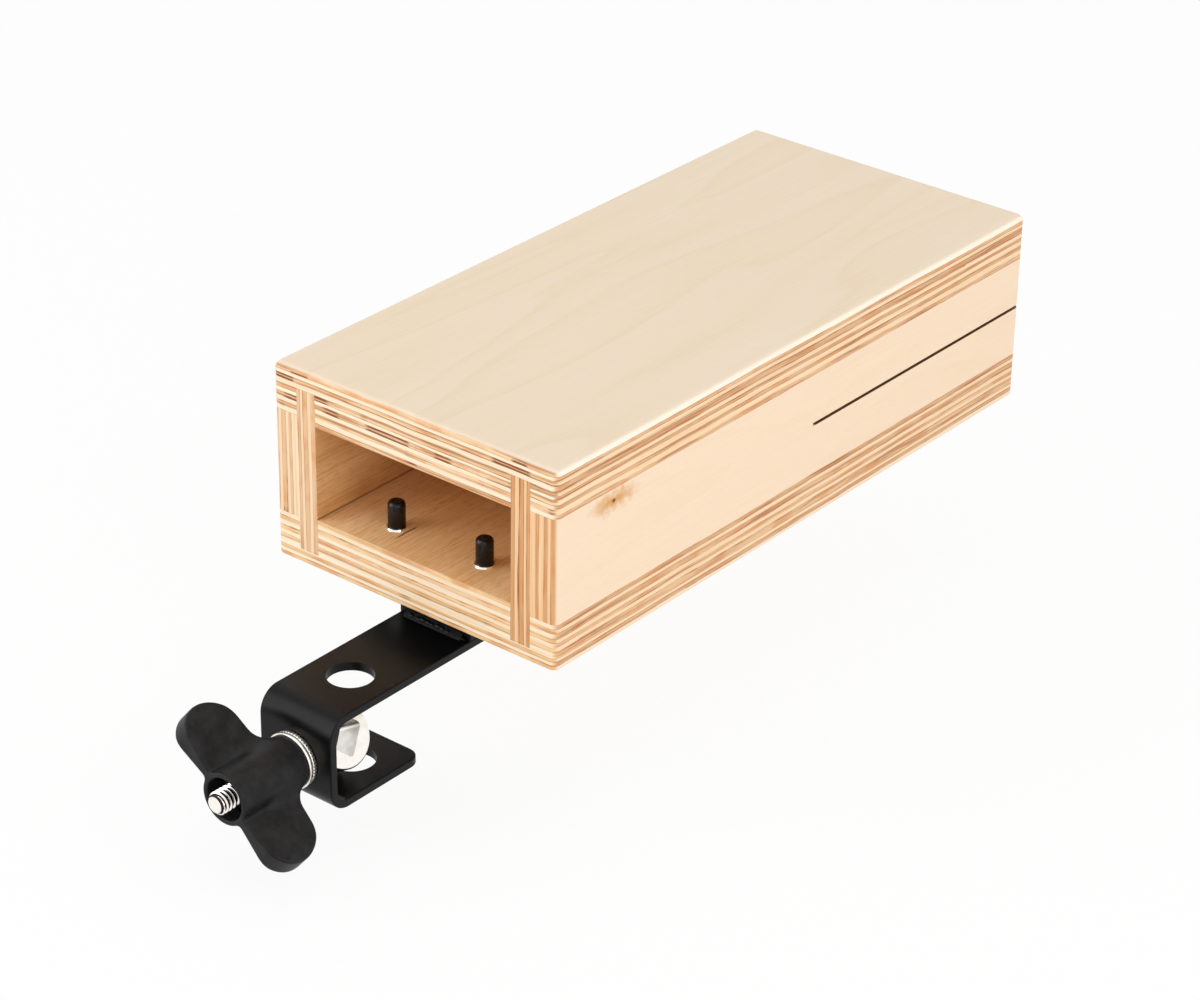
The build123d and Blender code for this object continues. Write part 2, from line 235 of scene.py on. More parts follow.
def lay_up(tree, mm, at, panel, through, sideways, outward, seed):
    """Which veneer a point is in, and where it lies in that veneer's grain.

    Levels are counted in veneers from the outer face. The veneers are a little wavy, not all of one
    thickness, and ragged along their borders.
    """
    low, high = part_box(panel)
    ply = (high[through] - low[through]) * PER_MM / PLIES
    outer = (high if outward > 0 else low)[through] * PER_MM
    lengthwise, crosswise = at[Y], at[sideways]
    level = add(tree, MATH, {
        0: at[through], 1: -outward / ply, 2: outward * outer / ply,
    }, operation="MULTIPLY_ADD")

    wave = add(tree, NOISE, {"Vector": mm, "Scale": 1 / WAVE_LENGTH, "Detail": 1.0})
    slow = add(tree, MATH, {0: level, 1: UNEVEN_PACE, 2: seed}, operation="MULTIPLY_ADD")
    uneven = add(tree, NOISE, {"W": slow, "Scale": 1.0, "Detail": 0.0}, noise_dimensions="1D")
    fray_scale = [1 / (FRAY_DEPTH if i == through else FRAY_LENGTH) for i in (X, Y, Z)]
    fray = add(tree, VECTOR, {0: mm, 1: fray_scale}, operation="MULTIPLY")
    fray = add(tree, NOISE, {"Vector": fray, "Scale": 1.0, "Detail": 2.5, "Roughness": 0.6})
    bent = add(tree, MATH, {0: level, 1: (WAVY + UNEVEN + RAGGED) / 2}, operation="SUBTRACT")
    for noise, reach in ((wave, WAVY), (uneven, UNEVEN), (fray, RAGGED)):
        bent = add(tree, MATH, {0: noise, 1: reach, 2: bent}, operation="MULTIPLY_ADD")

    held = add(tree, "ShaderNodeClamp", {"Value": bent, "Min": 0.01, "Max": PLIES - 0.01})
    index = add(tree, MATH, {0: held}, operation="FLOOR")
    crossed = add(tree, MATH, {0: index, 1: 2.0}, operation="MODULO")
    along = add(tree, MIX, {"Factor": crossed, "A": lengthwise, "B": crosswise})
    aside = add(tree, MIX, {"Factor": crossed, "A": crosswise, "B": lengthwise})
    shift = add(tree, MATH, {0: index, 1: VENEER_SHIFT, 2: seed}, operation="MULTIPLY_ADD")
    aside = add(tree, MATH, {0: aside, 1: shift}, operation="ADD")
    depth = add(tree, MATH, {0: bent, 1: ply}, operation="MULTIPLY")

    # Glue and gaps keep clear of the panel's two faces
    from_middle = add(tree, MATH, {0: level, 1: PLIES / 2}, operation="SUBTRACT")
    from_middle = add(tree, MATH, {0: from_middle}, operation="ABSOLUTE")
    buried = add(tree, RANGE, {
        "Value": from_middle, "From Min": PLIES / 2 - FACE_FULL, "From Max": PLIES / 2 - FACE_CLEAR,
        "To Min": 1.0, "To Max": 0.0,
    })
    return SimpleNamespace(
        bent=bent, index=index, crossed=crossed, buried=buried,
        grain=add(tree, JOIN, {0: along, 1: aside, 2: depth}),
        gap_place=add(tree, JOIN, {0: along, 1: aside, 2: index}),
        from_joint=add(tree, MATH, {0: bent, 1: 0.5}, operation="PINGPONG"),
        inner_half=add(tree, MATH, {0: level, 1: PLIES / 2}, operation="GREATER_THAN"),
    )


def grain_patterns(tree, grain):
    """Fibres, pores and flames for the faces, streaks and veins for the edges, slow bands for both."""
    patterns = {}
    for name, (size, settings) in BIRCH_GRAIN.items():
        scaled = add(tree, VECTOR, {0: grain, 1: [1 / length for length in size]}, operation="MULTIPLY")
        patterns[name] = add(tree, NOISE, {"Vector": scaled, "Scale": 1.0, **settings})
    patterns["line"] = add(tree, RANGE, {"Value": patterns["fibre"], "From Min": 0.36, "From Max": 0.68})
    patterns["pore"] = add(tree, RANGE, {"Value": patterns["pore"], "From Min": 0.54, "From Max": 0.7})
    return patterns


def exposure(tree, normal, through, sideways, crossed):
    """How much a point belongs to the panel's faces, to the block's two ends, and to end grain."""
    faced = add(tree, VECTOR, {0: normal}, operation="ABSOLUTE")
    faced = add(tree, SPLIT, {0: faced}).node.outputs
    end_grain = add(tree, MIX, {"Factor": crossed, "A": faced[Y], "B": faced[sideways]})
    return SimpleNamespace(
        face=add(tree, RANGE, {
            "Value": faced[through], "From Min": 0.55, "From Max": 0.95,
        }, interpolation_type="SMOOTHSTEP"),
        block_end=add(tree, RANGE, {
            "Value": faced[Y], "From Min": 0.3, "From Max": 0.8,
        }, interpolation_type="SMOOTHSTEP"),
        end_grain=add(tree, RANGE, {
            "Value": end_grain, "From Min": 0.3, "From Max": 0.8,
        }, interpolation_type="SMOOTHSTEP"),
    )


def glue_lines(tree, layers, band, seed):
    """Thin lines of glue between the veneers, each of its own strength, and broken along its length."""
    glue = add(tree, RANGE, {
        "Value": layers.from_joint, "From Min": 0.04, "From Max": 0.16, "To Min": 1.0, "To Max": 0.0,
    })
    joint = add(tree, MATH, {0: layers.bent, 1: 0.5 + seed}, operation="ADD")
    joint = add(tree, MATH, {0: joint}, operation="FLOOR")
    thick = add(tree, CHANCE, {"W": joint}, noise_dimensions="1D")
    thick = add(tree, RANGE, {"Value": thick, "From Min": 0.2, "From Max": 0.8, "To Min": 0.15})
    unbroken = add(tree, RANGE, {"Value": band, "From Min": 0.4, "From Max": 0.56, "To Min": 0.15})
    for share in (layers.buried, thick, unbroken):
        glue = add(tree, MATH, {0: glue, 1: share}, operation="MULTIPLY")
    return glue


def end_gaps(tree, layers, shown, gaps_over):
    """Short dark gaps beside the joints, in the end grain at the block's two ends."""
    scaled = add(tree, VECTOR, {
        0: layers.gap_place, 1: (1 / GAP_DEPTH, 1 / GAP_LENGTH, GAP_STEP),
    }, operation="MULTIPLY")
    gap = add(tree, NOISE, {"Vector": scaled, "Scale": 1.0, "Detail": 1.0})
    gap = add(tree, RANGE, {"Value": gap, "From Min": gaps_over, "From Max": gaps_over + GAP_FADE})
    beside = add(tree, RANGE, {
        "Value": layers.from_joint, "From Min": 0.3, "From Max": 0.44, "To Min": 1.0, "To Max": 0.0,
    })
    for share in (beside, shown.end_grain, shown.block_end, layers.buried):
        gap = add(tree, MATH, {0: gap, 1: share}, operation="MULTIPLY")
    return gap


def veneer_edges(tree, layers, grain, shown, seed, tint, veins):
    """Stripes of an edge: pale long grain with a plain outermost veneer, and tan, veined end grain."""
    edge_tint = {
        name: add(tree, MIX, {
            "Factor": shown.block_end, "A": tint["long_" + name], "B": tint[name],
        }, data_type="RGBA")
        for name in ("pale", "pale_shade", "tan", "tan_shade")
    }
    streak = add(tree, RANGE, {"Value": grain["streak"], "From Min": 0.41, "From Max": 0.63})
    pale = add(tree, MIX, {
        "Factor": streak, "A": edge_tint["pale"], "B": edge_tint["pale_shade"],
    }, data_type="RGBA")
    # outermost veneer in its own colour; on the top plate it is whitened as a painted highlight on the
    # rounded edge
    outermost = add(tree, MATH, {0: layers.index, 1: 0.5}, operation="LESS_THAN")
    pale = add(tree, MIX, {"Factor": outermost, "A": pale, "B": tint["skin_and_highlight"]}, data_type="RGBA")

    streak = add(tree, RANGE, {"Value": grain["streak"], "From Min": 0.46, "From Max": 0.63})
    own = add(tree, MATH, {0: layers.index, 1: seed}, operation="ADD")
    own = add(tree, CHANCE, {"W": own}, noise_dimensions="1D")
    shade = add(tree, MIX, {"Factor": VENEER_SHADE, "A": streak, "B": own})
    tan = add(tree, MIX, {
        "Factor": shade, "A": edge_tint["tan"], "B": edge_tint["tan_shade"],
    }, data_type="RGBA")
    rusty = add(tree, RANGE, {"Value": grain["band"], "From Min": 0.5, "From Max": 0.66, "To Max": 0.6})
    tan = add(tree, MIX, {"Factor": rusty, "A": tan, "B": tint["rust"]}, data_type="RGBA")
    vein = add(tree, RANGE, {"Value": grain["vein"], "From Min": 0.585, "From Max": 0.64})
    strength = add(tree, MIX, {"Factor": shown.block_end, "A": LONG_EDGE_VEINS, "B": veins})
    vein = add(tree, MATH, {0: vein, 1: strength}, operation="MULTIPLY")
    tan = add(tree, MIX, {"Factor": vein, "A": tan, "B": tint["vein"]}, data_type="RGBA")
    return add(tree, MIX, {"Factor": shown.end_grain, "A": pale, "B": tan}, data_type="RGBA")


def sanded_face(tree, grain, tint, rings):
    """Outer face: pale, with faint fibres and pores, and rings that darken slowly and end at once."""
    ring = add(tree, MATH, {0: grain["flame"], 1: RINGS}, operation="MULTIPLY")
    ring = add(tree, MATH, {0: ring}, operation="FRACT")
    ring_end = add(tree, RANGE, {
        "Value": ring, "From Min": 0.93, "From Max": 1.0, "To Min": 1.0, "To Max": 0.0,
    })
    ring = add(tree, MATH, {0: ring, 1: RING_RISE}, operation="POWER")
    ring = add(tree, MATH, {0: ring, 1: ring_end}, operation="MULTIPLY")
    figure = add(tree, MATH, {0: ring, 1: rings}, operation="MULTIPLY")
    figure = add(tree, MATH, {0: grain["line"], 1: FIBRE_TONE, 2: figure}, operation="MULTIPLY_ADD")
    figure = add(tree, MATH, {0: grain["pore"], 1: PORE_TONE, 2: figure}, operation="MULTIPLY_ADD")
    return add(tree, MIX, {"Factor": figure, "A": tint["face"], "B": tint["figure"]}, data_type="RGBA")


def raw_and_shaded_face(tree, grain, tint):
    """Inner face, left raw: browner, partly from the raw wood and partly as painted shade in the chamber,
    banded, with open pores.
    """
    band = add(tree, RANGE, {"Value": grain["band"], "From Min": 0.35, "From Max": 0.65})
    shade = add(tree, MATH, {0: grain["line"], 1: band}, operation="ADD")
    shade = add(tree, MATH, {0: shade, 1: 0.5}, operation="MULTIPLY")
    wood = add(tree, MIX, {"Factor": shade, "A": tint["raw"], "B": tint["raw_shade"]}, data_type="RGBA")
    pore = add(tree, MATH, {0: grain["pore"], 1: OPEN_PORE_TONE}, operation="MULTIPLY")
    return add(tree, MIX, {"Factor": pore, "A": wood, "B": tint["pore"]}, data_type="RGBA")


def stirred(tree, mm, place, reach, detail):
    """Coordinates round a place, stirred so that what is drawn there wanders."""
    centred = add(tree, VECTOR, {0: mm, 1: place}, operation="SUBTRACT")
    noise = add(tree, NOISE, {"Vector": mm, "Scale": 1 / STIRRED, "Detail": detail}).node.outputs["Color"]
    stir = add(tree, VECTOR, {0: noise, 1: (0.5, 0.5, 0.5)}, operation="SUBTRACT")
    stir = add(tree, VECTOR, {0: stir, "Scale": reach}, operation="SCALE")
    return add(tree, VECTOR, {0: centred, 1: stir}, operation="ADD")


def soft_spot(tree, place, half, solid, strength):
    """Spot with a soft edge: at full strength out to a share of its half sizes, and gone at their ends."""
    spot = add(tree, VECTOR, {0: place, 1: [1 / size for size in half]}, operation="MULTIPLY")
    spot = add(tree, VECTOR, {0: spot}, operation="LENGTH")
    return add(tree, RANGE, {
        "Value": spot, "From Min": solid, "From Max": 1.0, "To Min": strength, "To Max": 0.0,
    }, interpolation_type="SMOOTHSTEP")


def knot_in_wood(tree, mm, wood, place):
    """Pin knot: a small dark eye in a rust-coloured cloud that is drawn out along the grain."""
    around = stirred(tree, mm, place, KNOT_STIR, detail=4.0)
    cloud = soft_spot(tree, around, KNOT_CLOUD, solid=0.1, strength=0.95)
    centred = add(tree, VECTOR, {0: mm, 1: place}, operation="SUBTRACT")
    eye = soft_spot(tree, centred, KNOT_EYE, solid=0.3, strength=0.95)
    browned = add(tree, MIX, {"Factor": cloud, "A": wood, "B": linear("#d99a50")}, data_type="RGBA")
    return add(tree, MIX, {"Factor": eye, "A": browned, "B": linear("#4f2d0d")}, data_type="RGBA")


def crack_in_wood(tree, mm, wood, place):
    """Hair crack along the grain, under a millimetre wide and tapered to its ends."""
    around = stirred(tree, mm, place, CRACK_STIR, detail=2.0)
    line = soft_spot(tree, around, CRACK, solid=0.5, strength=0.9)
    return add(tree, MIX, {"Factor": line, "A": wood, "B": linear("#5a3516")}, data_type="RGBA")


def painted_corner_shade(tree, height, wood, corner_shade_at):
    """Painted shade in the corner where a wall meets the floor, up to 0.6 mm above it."""
    above = add(tree, MATH, {0: height, 1: corner_shade_at}, operation="SUBTRACT")
    near = add(tree, RANGE, {
        "Value": above, "From Min": 0.15, "From Max": 0.6, "To Min": 0.75, "To Max": 0.0,
    })
    return add(tree, MIX, {"Factor": near, "A": wood, "B": linear("#6b4324")}, data_type="RGBA")


def scorched_cut(tree, y, height, wood, cut_at, cut_from):
    """Walls of the saw slit, browned by the blade."""
    off = add(tree, MATH, {0: height, 1: cut_at}, operation="SUBTRACT")
    off = add(tree, MATH, {0: off}, operation="ABSOLUTE")
    near = add(tree, RANGE, {
        "Value": off, "From Min": SCORCH[0], "From Max": SCORCH[1], "To Min": 1.0, "To Max": 0.0,
    })
    behind = add(tree, MATH, {0: y, 1: cut_from - SCORCH_AHEAD}, operation="GREATER_THAN")
    near = add(tree, MATH, {0: near, 1: behind}, operation="MULTIPLY")
    return add(tree, MIX, {"Factor": near, "A": wood, "B": linear("#825634")}, data_type="RGBA")


def birch_plywood(panel, through, outward, seed, looks):
    """Birch plywood, sanded and clear lacquered: rotary-cut veneers with their grain crossed in turn.

    A veneer that runs into an edge shows tan end grain there, and its neighbours show pale long grain, so
    the edges are striped, with thin brown glue lines and a few dark gaps. The outer face is pale with a
    faint flame figure, and the inner face, left raw, is browner, partly as painted shade of the chamber.
    through is the axis across the panel, and outward says which way along it the outer face looks.
    """
    material, tree, place, mm = new_material(f"birch_plywood_{panel}")
    tint = {name: linear(code) for name, code in looks.items() if isinstance(code, str)}
    at = add(tree, SPLIT, {0: mm}).node.outputs
    sideways = Z if through == X else X
    layers = lay_up(tree, mm, at, panel, through, sideways, outward, seed)
    grain = grain_patterns(tree, layers.grain)
    shown = exposure(tree, place["Normal"], through, sideways, layers.crossed)
    glue = glue_lines(tree, layers, grain["band"], seed)
    gap = end_gaps(tree, layers, shown, looks["gaps_over"])

    edge = veneer_edges(tree, layers, grain, shown, seed, tint, looks["veins"])
    edge = add(tree, MIX, {"Factor": glue, "A": edge, "B": tint["glue"]}, data_type="RGBA")
    edge = add(tree, MIX, {"Factor": gap, "A": edge, "B": tint["gap"]}, data_type="RGBA")
    outside = sanded_face(tree, grain, tint, looks["rings"])
    inside = raw_and_shaded_face(tree, grain, tint)
    if "knot" in looks:
        outside = knot_in_wood(tree, mm, outside, looks["knot"])
    if "crack" in looks:
        inside = crack_in_wood(tree, mm, inside, looks["crack"])
    # painted shade along the walls' corner with the floor
    if "corner_shade_at" in looks:
        inside = painted_corner_shade(tree, at[Z], inside, looks["corner_shade_at"])
    if "cut_at" in looks:
        edge = scorched_cut(tree, at[Y], at[Z], edge, looks["cut_at"], looks["cut_from"])
    faces = add(tree, MIX, {"Factor": layers.inner_half, "A": outside, "B": inside}, data_type="RGBA")
    colour = add(tree, MIX, {"Factor": shown.face, "A": edge, "B": faces}, data_type="RGBA")

    gloss = add(tree, RANGE, {
        "Value": grain["fibre"], "From Min": 0.3, "From Max": 0.7, "To Min": 0.48, "To Max": 0.62,
    })
    relief = add(tree, MATH, {0: grain["fibre"], 1: glue}, operation="SUBTRACT")
    relief = add(tree, MATH, {0: relief, 1: gap}, operation="SUBTRACT")
    bump = add(tree, BUMP, {"Strength": 0.25, "Distance": 0.08 * MM, "Height": relief})
    finish_material(tree, add(tree, SHADER, {
        "Base Color": colour, "Roughness": gloss, "IOR": 1.5, "Normal": bump,
    }))
    return material


def powder_coated_steel():
    """Black powder coat on steel: satin, with the faint orange peel that the powder leaves as it melts."""
    material, tree, _, mm = new_material("black_powder_coated_steel")
    peel = add(tree, NOISE, {"Vector": mm, "Scale": 1 / COAT_PEEL, "Detail": 2.0})
    patch = add(tree, NOISE, {"Vector": mm, "Scale": 1 / COAT_PATCH, "Detail": 2.0})
    gloss = add(tree, RANGE, {
        "Value": patch, "From Min": 0.3, "From Max": 0.7, "To Min": 0.32, "To Max": 0.4,
    })
    colour = add(tree, MIX, {
        "Factor": patch, "A": linear("#070707"), "B": linear("#0a0a0b"),
    }, data_type="RGBA")
    bump = add(tree, BUMP, {"Strength": 0.12, "Distance": 0.04 * MM, "Height": peel})
    finish_material(tree, add(tree, SHADER, {
        "Base Color": colour, "Roughness": gloss, "IOR": 1.5, "Specular IOR Level": 0.16, "Normal": bump,
    }))
    return material


def moulded_nylon():
    """Glass-filled black nylon from a spark-eroded mould: charcoal, matt, fine grained, a little cloudy."""
    material, tree, _, mm = new_material("moulded_black_nylon")
    spark = add(tree, NOISE, {"Vector": mm, "Scale": 1 / NYLON_GRAIN, "Detail": 2.0})
    flow = add(tree, NOISE, {"Vector": mm, "Scale": 1 / NYLON_FLOW, "Detail": 4.0, "Roughness": 0.65})
    gloss = add(tree, RANGE, {
        "Value": flow, "From Min": 0.3, "From Max": 0.7, "To Min": 0.4, "To Max": 0.52,
    })
    worn = add(tree, RANGE, {"Value": flow, "From Min": 0.36, "From Max": 0.66})
    colour = add(tree, MIX, {
        "Factor": worn, "A": linear("#0a0a0b"), "B": linear("#222223"),
    }, data_type="RGBA")
    bump = add(tree, BUMP, {"Strength": 0.3, "Distance": 0.05 * MM, "Height": spark})
    finish_material(tree, add(tree, SHADER, {
        "Base Color": colour, "Roughness": gloss, "IOR": 1.53, "Specular IOR Level": 0.18, "Normal": bump,
    }))
    return material


def nickel_plated_steel(name, bright, hazy, smoothest, roughest):
    """Nickel-plated steel, tumbled: bright and a little warm, with soft dents and a patchy haze."""
    material, tree, _, mm = new_material(name)
    dent = add(tree, NOISE, {"Vector": mm, "Scale": 1 / PLATING_DENT, "Detail": 3.0})
    haze = add(tree, NOISE, {"Vector": mm, "Scale": 1 / PLATING_HAZE, "Detail": 3.0})
    gloss = add(tree, RANGE, {
        "Value": haze, "From Min": 0.3, "From Max": 0.7, "To Min": smoothest, "To Max": roughest,
    })
    patchy = add(tree, RANGE, {"Value": haze, "From Min": 0.35, "From Max": 0.65})
    colour = add(tree, MIX, {"Factor": patchy, "A": linear(bright), "B": linear(hazy)}, data_type="RGBA")
    bump = add(tree, BUMP, {"Strength": 0.07, "Distance": 0.06 * MM, "Height": dent})
    finish_material(tree, add(tree, SHADER, {
        "Base Color": colour, "Metallic": 1.0, "Roughness": gloss, "Normal": bump,
    }))
    return material


def dipped_vinyl():
    """Dip-moulded black vinyl: glossy and slightly uneven, as the film sets round its pin."""
    material, tree, _, mm = new_material("dipped_black_vinyl")
    ripple = add(tree, NOISE, {"Vector": mm, "Scale": 1 / VINYL_RIPPLE, "Detail": 1.0})
    gloss = add(tree, RANGE, {
        "Value": ripple, "From Min": 0.3, "From Max": 0.7, "To Min": 0.2, "To Max": 0.3,
    })
    colour = add(tree, MIX, {
        "Factor": ripple, "A": linear("#070606"), "B": linear("#0d0b0b"),
    }, data_type="RGBA")
    bump = add(tree, BUMP, {"Strength": 0.2, "Distance": 0.1 * MM, "Height": ripple})
    finish_material(tree, add(tree, SHADER, {
        "Base Color": colour, "Roughness": gloss, "IOR": 1.5, "Specular IOR Level": 0.36, "Normal": bump,
    }))
    return material


def dress(node, material):
    """Give a node of the frame its finish."""
    mesh = nodes[node].data
    mesh.materials.clear()
    mesh.materials.append(material)


def settle(piece, body, node):
    """Let a piece ride on a body and stand for a node of the frame, if there is one."""
    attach(piece, body)
    if node:
        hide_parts(node)


def object_of(name, mesh, *finishes):
    """Smooth-shaded object in the scene, at the origin, with its finishes."""
    piece = bpy.data.objects.new(name, mesh)
    bpy.context.scene.collection.objects.link(piece)
    for finish in finishes:
        mesh.materials.append(finish)
    for polygon in mesh.polygons:
        polygon.use_smooth = True
    return piece


# Where the clamp screw runs, from the frame
bolt_low, bolt_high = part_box("eye_bolt")
hub_low, hub_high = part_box("wing_nut")
bush_low, bush_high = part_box("nut_bush")
washer_low, washer_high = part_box("flat_washer")
axis_z = (washer_low.z + washer_high.z) / 2


def from_axis(place):
    """How far a place in metres is from the clamp screw's axis, in millimetres."""
    return Vector((place.x, place.z - axis_z)).length * PER_MM


bolt_points = [(v.co.y * PER_MM, from_axis(v.co)) for v in nodes["eye_bolt"].data.vertices]
bolt_radius = max(radius for y, radius in bolt_points if y < hub_high.y * PER_MM)
neck_end = min(y for y, radius in bolt_points if radius > bolt_radius + NECK_STEP)


def around_axis(radius, y, angle):
    """Place in metres on a circle round the clamp screw's axis."""
    return Vector((radius * cos(angle), y, radius * sin(angle))) * MM + Vector((0, 0, axis_z))


def thread_radius(phase, from_tip):
    """Radius of the thread at a phase of its pitch: a V with flat crests and roots, coned off at the tip."""
    rise = (abs(phase - 0.5) - CREST_FLAT / 2) / (0.5 - CREST_FLAT / 2 - ROOT_FLAT / 2)
    radius = bolt_radius - THREAD_DEPTH * min(max(rise, 0.0), 1.0)
    return min(radius, bolt_radius - TIP_CONE + max(from_tip, 0.0))


def helical_thread(shape, start_y, tip_y):
    """Add the thread to a mesh, from the neck to the tip: a grid whose rows climb one pitch in a turn."""
    crest, root = CREST_FLAT / 2, ROOT_FLAT / 2
    flank = (0.5 - crest - root) / 3
    half = [root, root + flank, root + 2 * flank, 0.5 - crest]
    phases = [0.0, *half, 0.5, *[1 - phase for phase in reversed(half)]]
    turns = round((start_y - tip_y) / THREAD_PITCH) + 3
    columns = []
    for spoke in range(THREAD_SPOKES):
        turned = spoke / THREAD_SPOKES
        column = []
        for turn in range(turns):
            for phase in phases:
                y = tip_y + (turn - 1 + phase - turned) * THREAD_PITCH
                place = around_axis(thread_radius(phase, y - tip_y), y, 2 * pi * turned)
                column.append(shape.verts.new(place))
        columns.append(column)
    for spoke, column in enumerate(columns):
        last = spoke == THREAD_SPOKES - 1
        following = columns[0] if last else columns[spoke + 1]
        step = len(phases) if last else 0
        for row in range(step, len(column) - 1):
            corners = (column[row], column[row + 1], following[row + 1 - step], following[row - step])
            shape.faces.new(corners)


def keep_beyond(shape, y, way):
    """Cut a mesh square to the bolt and keep what lies on one side, +1 to the rear and -1 to the front."""
    everything = shape.verts[:] + shape.edges[:] + shape.faces[:]
    bmesh.ops.bisect_plane(
        shape, geom=everything, dist=1e-8, plane_co=(0, y * MM, 0), plane_no=(0, -way, 0), clear_outer=True,
    )


def thread_mesh_between(start_y, tip_y):
    """The thread as a mesh of its own, cut square at both ends and closed at the tip."""
    shape = bmesh.new()
    helical_thread(shape, start_y, tip_y)
    keep_beyond(shape, tip_y, 1)
    keep_beyond(shape, start_y, -1)
    tip_side = (tip_y + THREAD_PITCH / 2) * MM
    tip_edges = [e for e in shape.edges if e.is_boundary and max(v.co.y for v in e.verts) < tip_side]
    bmesh.ops.edgeloop_fill(shape, edges=tip_edges)
    mesh = bpy.data.meshes.new("thread")
    shape.to_mesh(mesh)
    shape.free()
    return mesh


def mark_bolt_finishes(shape, start_y):
    """Second finish in the eye's bore, duller than its faces and greyer as painted shade, and third in the
    thread's roots, painted dark as shade.
    """
    eye_centre = Vector((0, bolt_high.y - EYE / 2 * MM, axis_z))
    eye_normal = Vector((cos(EYE_ANGLE), 0, sin(EYE_ANGLE)))
    bore_reach = (EYE / 2 - EYE_RIM + BORE_MARGIN) * MM
    root_shade_radius = bolt_radius - ROOT_SHADE_DEPTH * THREAD_DEPTH
    for face in shape.faces:
        middle = face.calc_center_median()
        from_eye = middle - eye_centre
        from_eye -= eye_normal * from_eye.dot(eye_normal)
        in_thread = middle.y < start_y * MM and abs(face.normal.y) < TIP_FACING
        if from_eye.length < bore_reach and abs(face.normal.dot(eye_normal)) < BORE_FACING:
            face.material_index = 1
        # roots below this depth take the dark finish that paints their shade
        elif in_thread and from_axis(middle) < root_shade_radius:
            face.material_index = 2


def threaded_eye_bolt(bright, bore, shaded_root):
    """The eye and its neck from the frame, with a helical thread in place of the plain shank."""
    stub_y = neck_end - NECK_STUB
    start_y = stub_y - THREAD_RUNOUT
    thread_mesh = thread_mesh_between(start_y, bolt_low.y * PER_MM)
    shape = bmesh.new()
    shape.from_mesh(nodes["eye_bolt"].data)
    bmesh.ops.remove_doubles(shape, verts=shape.verts, dist=1e-7)
    keep_beyond(shape, stub_y, 1)
    shape.from_mesh(thread_mesh)
    bmesh.ops.bridge_loops(shape, edges=[e for e in shape.edges if e.is_boundary])
    bmesh.ops.recalc_face_normals(shape, faces=shape.faces)
    mark_bolt_finishes(shape, start_y)
    mesh = bpy.data.meshes.new("threaded_eye_bolt")
    shape.to_mesh(mesh)
    shape.free()
    bpy.data.meshes.remove(thread_mesh)
    piece = object_of("threaded_eye_bolt", mesh, bright, bore, shaded_root)
    mesh.set_sharp_from_angle(angle=THREAD_CREASE)
    return piece


def pressed_washer(name, node, material, teeth=0):
    """Washer with the rounded edges that its punch leaves, and with teeth if it is a lock washer."""
    low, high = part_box(node)
    front, rear = low.y * PER_MM, high.y * PER_MM
    outer = (high.x - low.x) / 2 * PER_MM
    hole = min(from_axis(v.co) for v in nodes[node].data.vertices)
    turns = [pi / 2 * step / WASHER_EDGE_STEPS for step in range(WASHER_EDGE_STEPS + 1)]
    rim = [(-WASHER_EDGE * (1 - sin(turn)), front + WASHER_EDGE * (1 - cos(turn))) for turn in turns]
    rim += [(-WASHER_EDGE * (1 - cos(turn)), rear - WASHER_EDGE * (1 - sin(turn))) for turn in turns]
    spokes = teeth * SPOKES_PER_TOOTH if teeth else WASHER_SPOKES
    shape = bmesh.new()
    rings = []
    for spoke in range(spokes):
        in_notch = teeth and spoke % SPOKES_PER_TOOTH >= SPOKES_PER_TOOTH / 2
        radius = outer - (LOCK_NOTCH_DEPTH if in_notch else 0.0)
        profile = [(hole, front), *[(radius + inset, y) for inset, y in rim], (hole, rear)]
        angle = 2 * pi * spoke / spokes
        rings.append([shape.verts.new(around_axis(r, y, angle)) for r, y in profile])
    for ring, following in zip(rings, rings[1:] + rings[:1]):
        for i in range(len(ring)):
            shape.faces.new((ring[i - 1], ring[i], following[i], following[i - 1]))
    bmesh.ops.recalc_face_normals(shape, faces=shape.faces)
    mesh = bpy.data.meshes.new(name)
    shape.to_mesh(mesh)
    shape.free()
    piece = object_of(name, mesh, material)
    mesh.set_sharp_from_angle(angle=WASHER_CREASE)
    return piece


def smooth_join(a, b, blend):
    """Union of two distance fields with a rounded inner corner."""
    share = np.clip(0.5 + 0.5 * (b - a) / blend, 0.0, 1.0)
    return b + (a - b) * share - blend * share * (1 - share)


def smooth_cut(a, b, blend):
    """What two distance fields share, with a rounded outer corner."""
    return -smooth_join(-a, -b, blend)


def rounded_both(a, b, edge):
    """What two distance fields share, with their outer corner rounded to a radius."""
    a, b = a + edge, b + edge
    return np.hypot(np.maximum(a, 0), np.maximum(b, 0)) + np.minimum(np.maximum(a, b), 0) - edge


